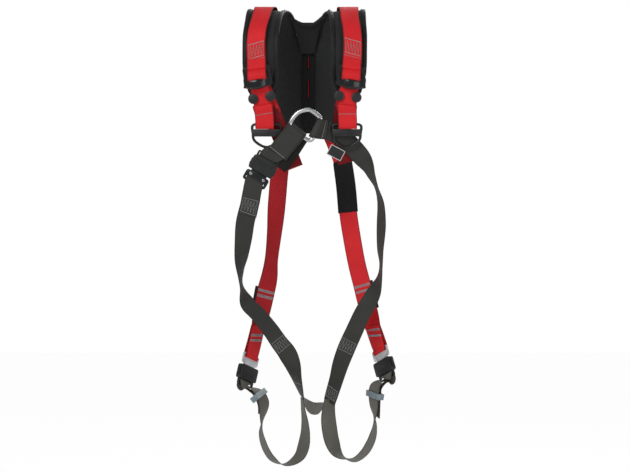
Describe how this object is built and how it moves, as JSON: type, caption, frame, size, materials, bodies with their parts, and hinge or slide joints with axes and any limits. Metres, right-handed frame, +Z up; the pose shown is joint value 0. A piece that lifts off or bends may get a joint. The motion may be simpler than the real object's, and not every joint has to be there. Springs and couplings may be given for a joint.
{
  "type": "full body safety harness",
  "caption": "Full-body fall-arrest harness with a padded back yoke, chest and dorsal D-rings, quick chest and hip buckles and adjustable leg loops.",
  "frame": {"origin": "on the axis of the dorsal D-ring's bar, in the middle of the back", "axes": "+Z up, +Y out of the wearer's back, -Y out of the chest, +X to the right as seen from the front; left and right in names are as seen from the front"},
  "size_m": [0.3852, 0.2469, 1.1102],
  "materials": {
    "pad": "black woven mesh over foam, bound edges",
    "black_webbing": "black woven cloth",
    "red_webbing": "red polyester webbing",
    "dark_webbing": "dark grey polyester webbing",
    "leg_webbing": "grey polyester webbing",
    "black_plastic": "moulded black nylon",
    "black_metal": "black coated steel",
    "polished_steel": "bright zinc plated steel",
    "grey_plastic": "bluish grey moulded plastic",
    "tag_rubber": "soft black rubber, pale rim"
  },
  "bodies": {
    "harness": {"yoke_pad_left": "pad", "yoke_pad_right": "pad", "neck_panel": "pad", "spine_tape": "black_webbing", "main_strap_left": "red_webbing", "main_strap_right": "red_webbing", "hip_loop_left": "red_webbing", "hip_loop_right": "red_webbing", "label_sleeve": "black_webbing", "guide_loop_left": "dark_webbing", "guide_loop_right": "dark_webbing", "dorsal_plate": "black_plastic", "adjuster_frame_left": "black_metal", "adjuster_frame_right": "black_metal", "chest_strap_left": "red_webbing", "chest_strap_right": "red_webbing", "sternal_loop_left": "dark_webbing", "sternal_loop_right": "dark_webbing", "sternal_strap": "dark_webbing", "sternal_sleeve": "dark_webbing", "chest_receiver": "black_metal", "chest_springs": "polished_steel", "side_loop_left": "dark_webbing", "side_strap_left": "dark_webbing", "side_strap_right": "dark_webbing", "crotch_strap": "leg_webbing", "leg_strap_left": "leg_webbing", "leg_strap_right": "leg_webbing", "hip_receiver_left": "black_metal", "hip_springs_left": "polished_steel", "hip_receiver_right": "black_metal", "hip_springs_right": "polished_steel"},
    "dorsal_ring": {"dorsal_ring": "polished_steel"},
    "sternal_ring": {"sternal_ring": "polished_steel"},
    "chest_ring_left": {"chest_ring_left": "polished_steel", "ring_bar_left": "black_plastic"},
    "chest_ring_right": {"chest_ring_right": "polished_steel", "ring_bar_right": "black_plastic"},
    "adjuster_bar_left": {"adjuster_bar_left": "polished_steel"},
    "adjuster_bar_right": {"adjuster_bar_right": "polished_steel"},
    "strap_keeper_left": {"strap_keeper_left": "black_plastic"},
    "strap_keeper_right": {"strap_keeper_right": "black_plastic"},
    "chest_tongue": {"chest_tongue": "black_metal", "chest_rivets": "polished_steel"},
    "chest_tab_left": {"chest_tabs_left": "black_plastic"},
    "chest_tab_right": {"chest_tabs_right": "black_plastic"},
    "hip_tongue_left": {"hip_tongue_left": "polished_steel"},
    "hip_tab_outer_left": {"hip_tab_outer_left": "black_plastic"},
    "hip_tab_inner_left": {"hip_tab_inner_left": "black_plastic"},
    "hip_tongue_right": {"hip_tongue_right": "polished_steel"},
    "hip_tab_outer_right": {"hip_tab_outer_right": "black_plastic"},
    "hip_tab_inner_right": {"hip_tab_inner_right": "black_plastic"},
    "leg_keeper_left": {"leg_keeper_left": "grey_plastic"},
    "leg_keeper_right": {"leg_keeper_right": "grey_plastic"},
    "tag": {"tag": "tag_rubber"}
  },
  "joints": [
    {"name": "dorsal_ring_flip", "type": "hinge", "parent": "harness", "child": "dorsal_ring", "pos_m": [0, 0, 0], "axis": [1, 0, 0], "range_deg": [0, 165]},
    {"name": "sternal_ring_tilt", "type": "hinge", "parent": "harness", "child": "sternal_ring", "pos_m": [-0.003, -0.231, -0.132], "axis": [1, 0, 0], "range_deg": [-20, 20], "deforming": ["sternal_loop_left", "sternal_loop_right"]},
    {"name": "chest_ring_left_swing", "type": "hinge", "parent": "harness", "child": "chest_ring_left", "pos_m": [-0.098, -0.215, -0.117], "axis": [1, 0, 0], "range_deg": [0, 4]},
    {"name": "chest_ring_right_swing", "type": "hinge", "parent": "harness", "child": "chest_ring_right", "pos_m": [0.091, -0.219, -0.117], "axis": [1, 0, 0], "range_deg": [-4, 0]},
    {"name": "adjuster_bar_left_slide", "type": "slide", "parent": "harness", "child": "adjuster_bar_left", "axis": [-0.1392, 0, 0.9903], "range_m": [-0.0015, 0.0015]},
    {"name": "adjuster_bar_right_slide", "type": "slide", "parent": "harness", "child": "adjuster_bar_right", "axis": [0.1392, 0, 0.9903], "range_m": [-0.0015, 0.0015]},
    {"name": "strap_keeper_left_slide", "type": "slide", "parent": "harness", "child": "strap_keeper_left", "axis": [-0.139, 0, 0.9903], "range_m": [-0.004, 0.004]},
    {"name": "strap_keeper_right_slide", "type": "slide", "parent": "harness", "child": "strap_keeper_right", "axis": [0.087, 0, 0.9962], "range_m": [-0.004, 0.004]},
    {"name": "chest_tongue_pull", "type": "slide", "parent": "harness", "child": "chest_tongue", "axis": [-0.5, 0, -0.866], "range_m": [0, 0.024], "deforming": ["side_loop_left"]},
    {"name": "chest_tab_left_press", "type": "slide", "parent": "harness", "child": "chest_tab_left", "axis": [0.866, 0, -0.5], "range_m": [0, 0.0022], "stiffness_N_per_m": 600, "deforming": ["chest_springs"]},
    {"name": "chest_tab_right_press", "type": "slide", "parent": "harness", "child": "chest_tab_right", "axis": [-0.866, 0, 0.5], "range_m": [0, 0.0022], "stiffness_N_per_m": 600, "deforming": ["chest_springs"]},
    {"name": "hip_tongue_left_pull", "type": "slide", "parent": "harness", "child": "hip_tongue_left", "axis": [0.2106, 0.2695, 0.9397], "range_m": [0, 0.024], "deforming": ["hip_loop_left"]},
    {"name": "hip_tab_outer_left_press", "type": "slide", "parent": "harness", "child": "hip_tab_outer_left", "axis": [0.5785, 0.7405, -0.342], "range_m": [0, 0.0022], "stiffness_N_per_m": 600, "deforming": ["hip_springs_left"]},
    {"name": "hip_tab_inner_left_press", "type": "slide", "parent": "harness", "child": "hip_tab_inner_left", "axis": [-0.5785, -0.7405, 0.342], "range_m": [0, 0.0022], "stiffness_N_per_m": 600, "deforming": ["hip_springs_left"]},
    {"name": "hip_tongue_right_pull", "type": "slide", "parent": "harness", "child": "hip_tongue_right", "axis": [-0.2504, 0.3205, 0.9135], "range_m": [0, 0.024], "deforming": ["hip_loop_right"]},
    {"name": "hip_tab_outer_right_press", "type": "slide", "parent": "harness", "child": "hip_tab_outer_right", "axis": [-0.5624, 0.7199, -0.4067], "range_m": [0, 0.0022], "stiffness_N_per_m": 600, "deforming": ["hip_springs_right"]},
    {"name": "hip_tab_inner_right_press", "type": "slide", "parent": "harness", "child": "hip_tab_inner_right", "axis": [0.5624, -0.7199, 0.4067], "range_m": [0, 0.0022], "stiffness_N_per_m": 600, "deforming": ["hip_springs_right"]},
    {"name": "leg_keeper_left_slide", "type": "slide", "parent": "harness", "child": "leg_keeper_left", "axis": [-0.6439, 0.081, 0.7608], "range_m": [-0.003, 0.003]},
    {"name": "leg_keeper_right_slide", "type": "slide", "parent": "harness", "child": "leg_keeper_right", "axis": [0.1061, -0.0851, 0.9907], "range_m": [-0.003, 0.003]},
    {"name": "tag_swing", "type": "hinge", "parent": "harness", "child": "tag", "pos_m": [0.065, -0.234, -0.17], "axis": [0.8829, 0, -0.4695], "range_deg": [-12, 0]}
  ]
}
